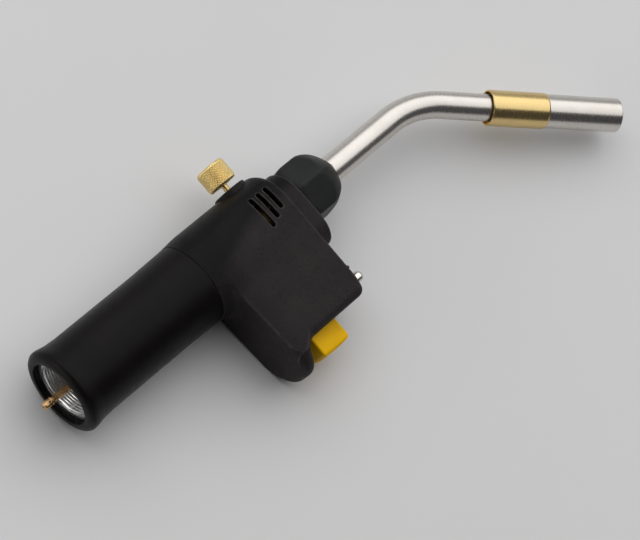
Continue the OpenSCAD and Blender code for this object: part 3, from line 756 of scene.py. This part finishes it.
def knob():
    n = 40
    seg = n * 12
    pitch = 2 * math.pi * KR / n
    xs = np.arange(KX1 + 1.0, KX0 - 0.95, pitch / (11))
    outline = [(0.0, KX1 + 0.55), (2.2, KX1 + 0.55), (2.5, KX1 + 0.35), (2.7, KX1), (5.9, KX1), (6.15, KX1 + 0.05),
               (6.55, KX1 + 0.4)]
    outline += [(KR, a) for a in xs]
    outline += [(6.55, KX0 - 0.35), (6.2, KX0 - 0.05), (6.0, KX0), (2.6, KX0), (2.45, KX0 - 0.25), (1.45, KX0 - 0.3),
                (1.45, KX0 - 2.0), (0.0, KX0 - 2.0)]
    o = np.array(outline)

    def cut(R, A, T):
        on = np.abs(R - KR) < 1e-6
        u = (n * T / (2 * math.pi) + (A - KX1) / pitch) % 1.0
        v = (n * T / (2 * math.pi) - (A - KX1) / pitch) % 1.0
        g = np.minimum(np.abs(2 * u - 1), np.abs(2 * v - 1))
        g = np.clip(g * 1.5, 0, 1)
        edge = np.clip((A - KX1 - 0.9) / 0.6, 0, 1) * np.clip((KX0 - 0.8 - A) / 0.6, 0, 1)
        return np.where(on, KR - 0.42 * (1 - g) * (0.35 + 0.65 * edge) - 0.12 * (1 - edge), R)

    return lathe("FlameKnob", o, M_KNOB, place=axis_x(KNOB_Y), seg=seg, sharp=None, radius=cut,
                 body="knob", stands=["adjust_knob"], slot="brass")


knob()
stem = [(0.0, -26.3), (1.5, -26.3), (1.5, -24.6)]
for i in range(11):
    x0 = -24.4 + i * 0.7
    stem += [(1.5, x0), (1.5, x0 + 0.28), (1.34, x0 + 0.4), (1.34, x0 + 0.55)]
stem += [(1.5, -16.6), (1.5, -4.1), (0.5, -1.7), (0.2, -1.42), (0.0, -1.4)]
lathe("NeedleStem", np.array(stem), M_BRASS, place=axis_x(KNOB_Y), seg=48, sharp=35, body="knob",
      stands=["needle_stem"], slot="brass")

bezel = rounded([(6.4, -15.7), (6.4, -20.9, 0.5), (7.3, -21.25, 0.6), (7.98, -20.7, 0.4), (7.98, -15.7)], 5)
lathe("KnobBezel", bezel, M_BEZEL, place=axis_x(KNOB_Y), seg=96, sharp=40, stands=["knob_bezel"], slot="black_plastic")


def gland(x, y, z):
    yy, zz = y - KNOB_Y, z
    q = np.full(np.shape(x), -1e3)
    for k in range(3):
        a = math.radians(60 * k)
        q = np.maximum(q, np.abs(-math.sin(a) * zz + math.cos(a) * yy) - 4.93) if k == 0 else rmax(
            q, np.abs(-math.sin(a) * zz + math.cos(a) * yy) - 4.93, 0.15)
    r = np.hypot(yy, zz)
    f = rmax(q, -17.4 - x, 0.15)
    f = np.maximum(f, x + 11.0)
    cone = (r - 5.15 + (-17.4 - x + 0.35) * 1.4) * 0.58
    f = np.maximum(f, cone)
    f = rmax(f, -(r - 1.58), 0.12)
    f = np.maximum(f, -np.maximum(r - 4.02, -13.2 - x))
    f = np.maximum(f, -np.maximum(r - 3.2, np.abs(x + 14.45) - 1.45))
    return f


solid("PackingGland", gland, (-17.5, 114.0, -6.0), (-11.0, 126.0, 6.0), 0.24, M_BRASS,
      stands=["packing_gland"], slot="brass")

# ------------------------------------------------------------------ hexagonal tube nut
NUT_A = 15.8 * math.cos(math.radians(30))
# dome through three points of its outline
_p = np.array([[15.8, 151.6], [12.9, 158.2], [6.9, 163.6]])
_m = np.array([[2 * (_p[1] - _p[0])[0], 2 * (_p[1] - _p[0])[1]], [2 * (_p[2] - _p[0])[0], 2 * (_p[2] - _p[0])[1]]])
_b = np.array([(_p[1] ** 2).sum() - (_p[0] ** 2).sum(), (_p[2] ** 2).sum() - (_p[0] ** 2).sum()])
DOME_C = np.linalg.solve(_m, _b)
DOME_R = float(np.linalg.norm(_p[0] - DOME_C))


def nut(x, y, z):
    f = None
    for k in range(3):
        # vertex directions sit at 22 degrees and every 60, so flats sit 30 further on
        a = math.radians(22 + 30 + 60 * k)
        d = np.abs(math.cos(a) * x - math.sin(a) * z) - NUT_A
        f = d if f is None else rmax(f, d, 0.9)
    r = np.hypot(x, z)
    # the six corners run up over the dome as soft ribs
    q = 0.5 * r + 0.5 * (f + NUT_A) / math.cos(math.radians(30))
    dome = np.where((y > DOME_C[1]) | (q > DOME_C[0]), np.hypot(q - DOME_C[0], y - DOME_C[1]) - DOME_R, -3.0)
    f = rmax(f, dome, 0.35)
    f = rmax(f, y - 163.7, 0.35)
    foot = ((r - 15.1) + (139.6 - y)) * 0.7071
    f = rmax(f, foot, 0.3)
    f = rmax(f, 139.6 - y, 0.3)
    f = rmax(f, -(r - 6.42), 0.35)
    f = np.maximum(f, -np.maximum(r - 10.1, y - 153.2))
    f = np.maximum(f, -np.maximum(r - 8.8, y - 156.1))
    return f


solid("TubeNut", nut, (-16, 139.4, -16), (16, 163.9, 16), 0.36, M_NUT,
      stands=["tube_nut"], slot="black_nut")


# ------------------------------------------------------------------ burn tube
def burn_tube():
    pts, tan = [], []
    for yv in np.arange(137.0, BEND_Y, 3.0):
        pts.append((0.0, yv))
        tan.append((0.0, 1.0))
    nb = 48
    for i in range(nb + 1):
        a = math.pi - BEND_A * i / nb
        pts.append((BEND_R + BEND_R * math.cos(a), BEND_Y + BEND_R * math.sin(a)))
        tan.append((math.sin(BEND_A * i / nb), math.cos(BEND_A * i / nb)))
    for d in np.linspace(2.5, 42.0, 14):
        pts.append((BEND_END[0] + d * TX, BEND_END[1] + d * TY))
        tan.append((TX, TY))
    pts, tan = np.array(pts), np.array(tan)
    run = np.concatenate([[0], np.cumsum(np.linalg.norm(np.diff(pts, axis=0), axis=1))])
    seg = 96
    th = np.arange(seg) * 2 * math.pi / seg
    rings, co = [], []
    # a tube bent cold is a little flat on the outside of its bend
    for i, (p, t) in enumerate(zip(pts, tan)):
        ang = math.atan2(t[0], t[1])
        k = math.sin(math.pi * min(1, max(0, ang / BEND_A))) if 0 < ang < BEND_A else 0.0
        n2 = np.array([t[1], -t[0]])
        for ro in (6.35, 5.45):
            q = ro * np.cos(th) * (1 - 0.012 * k)
            w = ro * np.sin(th)
            rings.append(np.stack([p[0] + n2[0] * q, p[1] + n2[1] * q, w], 1))
            co.append(np.stack([ro * th, np.full(seg, run[i]), np.zeros(seg)], 1))
    V = np.concatenate(rings)
    C = np.concatenate(co)
    F = []
    n = len(pts)
    o = lambda i, k, j: (2 * i + k) * seg + j % seg
    for i in range(n - 1):
        for j in range(seg):
            F.append((o(i, 0, j), o(i, 0, j + 1), o(i + 1, 0, j + 1), o(i + 1, 0, j)))
            F.append((o(i, 1, j), o(i + 1, 1, j), o(i + 1, 1, j + 1), o(i, 1, j + 1)))
    for i in (0, n - 1):
        for j in range(seg):
            F.append((o(i, 0, j), o(i, 0, j + 1), o(i, 1, j + 1), o(i, 1, j)))
    return make("BurnTube", V, F, M_STEEL, sharp=35, recalc=True, extra={"along": C},
                stands=["burn_tube"], slot="steel")


burn_tube()
FER_D, FER_L = 23.0, 28.6
ferrule = rounded([
    (7.5, 0.0, 0.12), (8.1, 0.0, 0.12), (8.35, 0.35, 0.2), (8.35, 27.9, 0.25), (8.12, 28.5, 0.15), (7.14, 28.55),
    (7.14, 35.5, 0.3), (6.62, 35.5, 0.1), (6.62, 19.0), (6.37, 18.9), (6.37, 4.0), (7.5, 4.0)], 5)
lathe("Ferrule", densify(ferrule, 2.0), M_BRASS, place=axis_burner(FER_D), seg=120, sharp=40,
      stands=["ferrule"], slot="brass")
burner = rounded([
    (7.2, 0.02), (7.93, 0.02, 0.15), (7.93, 37.6 - 0.0, 1.25), (6.55, 37.6, 0.55), (6.75, 35.9, 1.4), (7.2, 34.4, 1.6)], 9)
lathe("BurnerTube", densify(burner, 1.6), M_BURNER, place=axis_burner(FER_D + FER_L), seg=120, sharp=45,
      stands=["burner_tube"], slot="steel")


# ------------------------------------------------------------------ trigger and lock
def trigger(x, y, z):
    yy = y - TRIG_Y
    # crowned finger face with soft corners
    face = x - 61.0 + 0.006 * yy * yy + 0.004 * z * z
    f = rmax(box2(yy, z, 7.75, 7.0, 0.9), face, 1.7)
    f = np.maximum(f, 47.4 - x)
    flange = rmax(box2(y - 108.35, z, 9.45, 8.7, 0.6), np.abs(x - 46.5) - 1.1, 0.3)
    tab = rmax(box2(y - 101.5, z, 1.3, 3.0, 0.3), np.abs(x - 41.95) - 3.64, 0.3)
    return np.minimum(np.minimum(f, flange), tab)


solid("TriggerButton", trigger, (38.2, 98.8, -8.8), (61.1, 117.9, 8.8), 0.3, M_YELLOW,
      body="trigger", stands=["trigger_button"], slot="yellow_plastic")
lockb = rounded([
    (0.0, 118.3), (1.4, 118.3, 0.2), (1.5, 118.6, 0.2), (1.5, 128.3), (3.0, 128.3, 0.1), (3.0, 129.75, 0.1),
    (2.48, 129.75), (2.48, 141.6, 0.9), (1.9, 142.9, 1.2), (0.0, 143.2)], 6)
lathe("LockButton", lockb, M_NICKEL, place=lambda r, a, th: axis_y(r, a, th) + np.array([LOCK_X, 0, 0]), seg=64, sharp=40,
      body="lock", stands=["lock_button"], slot="nickel")

# ------------------------------------------------------------------ floor, light, camera
floor_z = min(CAD_BOX[0][2], CAD_BOX[1][2])


def floor():
    me = bpy.data.meshes.new("Floor")
    n, s = 24, 4.0
    co = [(-s + 2 * s * i / n, -s + 2 * s * j / n, floor_z - 0.00002) for i in range(n + 1) for j in range(n + 1)]
    fa = [(i * (n + 1) + j, (i + 1) * (n + 1) + j, (i + 1) * (n + 1) + j + 1, i * (n + 1) + j + 1)
          for i in range(n) for j in range(n)]
    me.from_pydata(co, [], fa)
    ob = bpy.data.objects.new("Floor", me)
    bpy.context.scene.collection.objects.link(ob)
    m, t, b = nt("FloorPaint")
    v = coords(t)
    d = noise(t, v, 0.004, 3, 0.5)
    col = mix(t, span(t, d, 0.3, 0.7, 0, 1), (0.775, 0.772, 0.775), (0.80, 0.797, 0.80))
    t.links.new(col, b.inputs["Base Color"])
    b.inputs["Roughness"].default_value = 0.55
    b.inputs["Specular IOR Level"].default_value = 0.25
    t.links.new(bump(t, noise(t, v, 0.5, 3, 0.5), 0.01), b.inputs["Normal"])
    me.materials.append(m)


floor()

scene = bpy.context.scene
CAM = np.array([0.098698, -0.34504, 0.924606])
RIGHT = np.array([0.67319116, 0.67724871, 0.29689704])
DOWN = np.array([0.73657963, -0.57868408, -0.35010739])
FWD = np.array([-0.06530019, 0.45437751, -0.88841261])


def basis(x, y, z, o):
    return Matrix(((x[0], y[0], z[0], o[0]), (x[1], y[1], z[1], o[1]), (x[2], y[2], z[2], o[2]), (0, 0, 0, 1)))


cam_data = bpy.data.cameras.new("Camera")
cam_data.sensor_width = 36.0
cam_data.sensor_fit = "HORIZONTAL"
cam_data.lens = 135.0
cam_data.clip_start = 0.02
cam_data.clip_end = 50.0
cam = bpy.data.objects.new("Camera", cam_data)
scene.collection.objects.link(cam)
cam.matrix_world = basis(RIGHT, -DOWN, -FWD, CAM)
scene.camera = cam

# directions over the bench: FAR points away from the viewer, along the top of the view
FAR = np.array([-DOWN[0], -DOWN[1], 0.0])
FAR /= np.linalg.norm(FAR)
ACROSS = np.array([RIGHT[0], RIGHT[1], 0.0])
ACROSS /= np.linalg.norm(ACROSS)
UP = np.array([0.0, 0.0, 1.0])
AIM = np.array([0.02, 0.15, -0.01])


def soft(name, direction, dist, w, h, power, colour=(1, 1, 1)):
    d = np.array(direction, float)
    d /= np.linalg.norm(d)
    pos = AIM + d * dist
    z = d
    x = np.cross(UP, z)
    x /= np.linalg.norm(x)
    y = np.cross(z, x)
    li = bpy.data.lights.new(name, "AREA")
    li.shape = "RECTANGLE"
    li.size, li.size_y = w, h
    li.energy = power
    li.color = colour
    ob = bpy.data.objects.new(name, li)
    scene.collection.objects.link(ob)
    ob.matrix_world = basis(x, y, z, pos)
    return ob


soft("OverheadSoft", FAR * 0.41 + UP * 0.91 + ACROSS * 0.13, 1.5, 3.6, 2.3, 27.0, (1.0, 0.998, 0.992))
soft("SideFill", np.array([-0.42, -0.88, 0.20]), 1.6, 1.2, 0.6, 5.4, (1.0, 0.985, 0.97))

world = bpy.data.worlds.new("World")
scene.world = world
world.use_nodes = True
wt = world.node_tree
bg = wt.nodes["Background"]
tc = node(wt, "ShaderNodeTexCoord")
dot = node(wt, "ShaderNodeVectorMath", operation="DOT_PRODUCT")
wt.links.new(tc.outputs["Generated"], dot.inputs[0])
dot.inputs[1].default_value = tuple(FAR)
far = node(wt, "ShaderNodeMapRange", interpolation_type="SMOOTHSTEP")
wt.links.new(dot.outputs["Value"], far.inputs["Value"])
for k, x in zip(("From Min", "From Max", "To Min", "To Max"), (-0.35, 0.65, 0.0, 1.0)):
    far.inputs[k].default_value = x
wcol = mix(wt, far.outputs["Result"], (0.06, 0.06, 0.063), (0.42, 0.42, 0.425))
wt.links.new(wcol, bg.inputs["Color"])
bg.inputs["Strength"].default_value = 1.0
scene.view_settings.view_transform = "Standard"
scene.view_settings.look = "None"
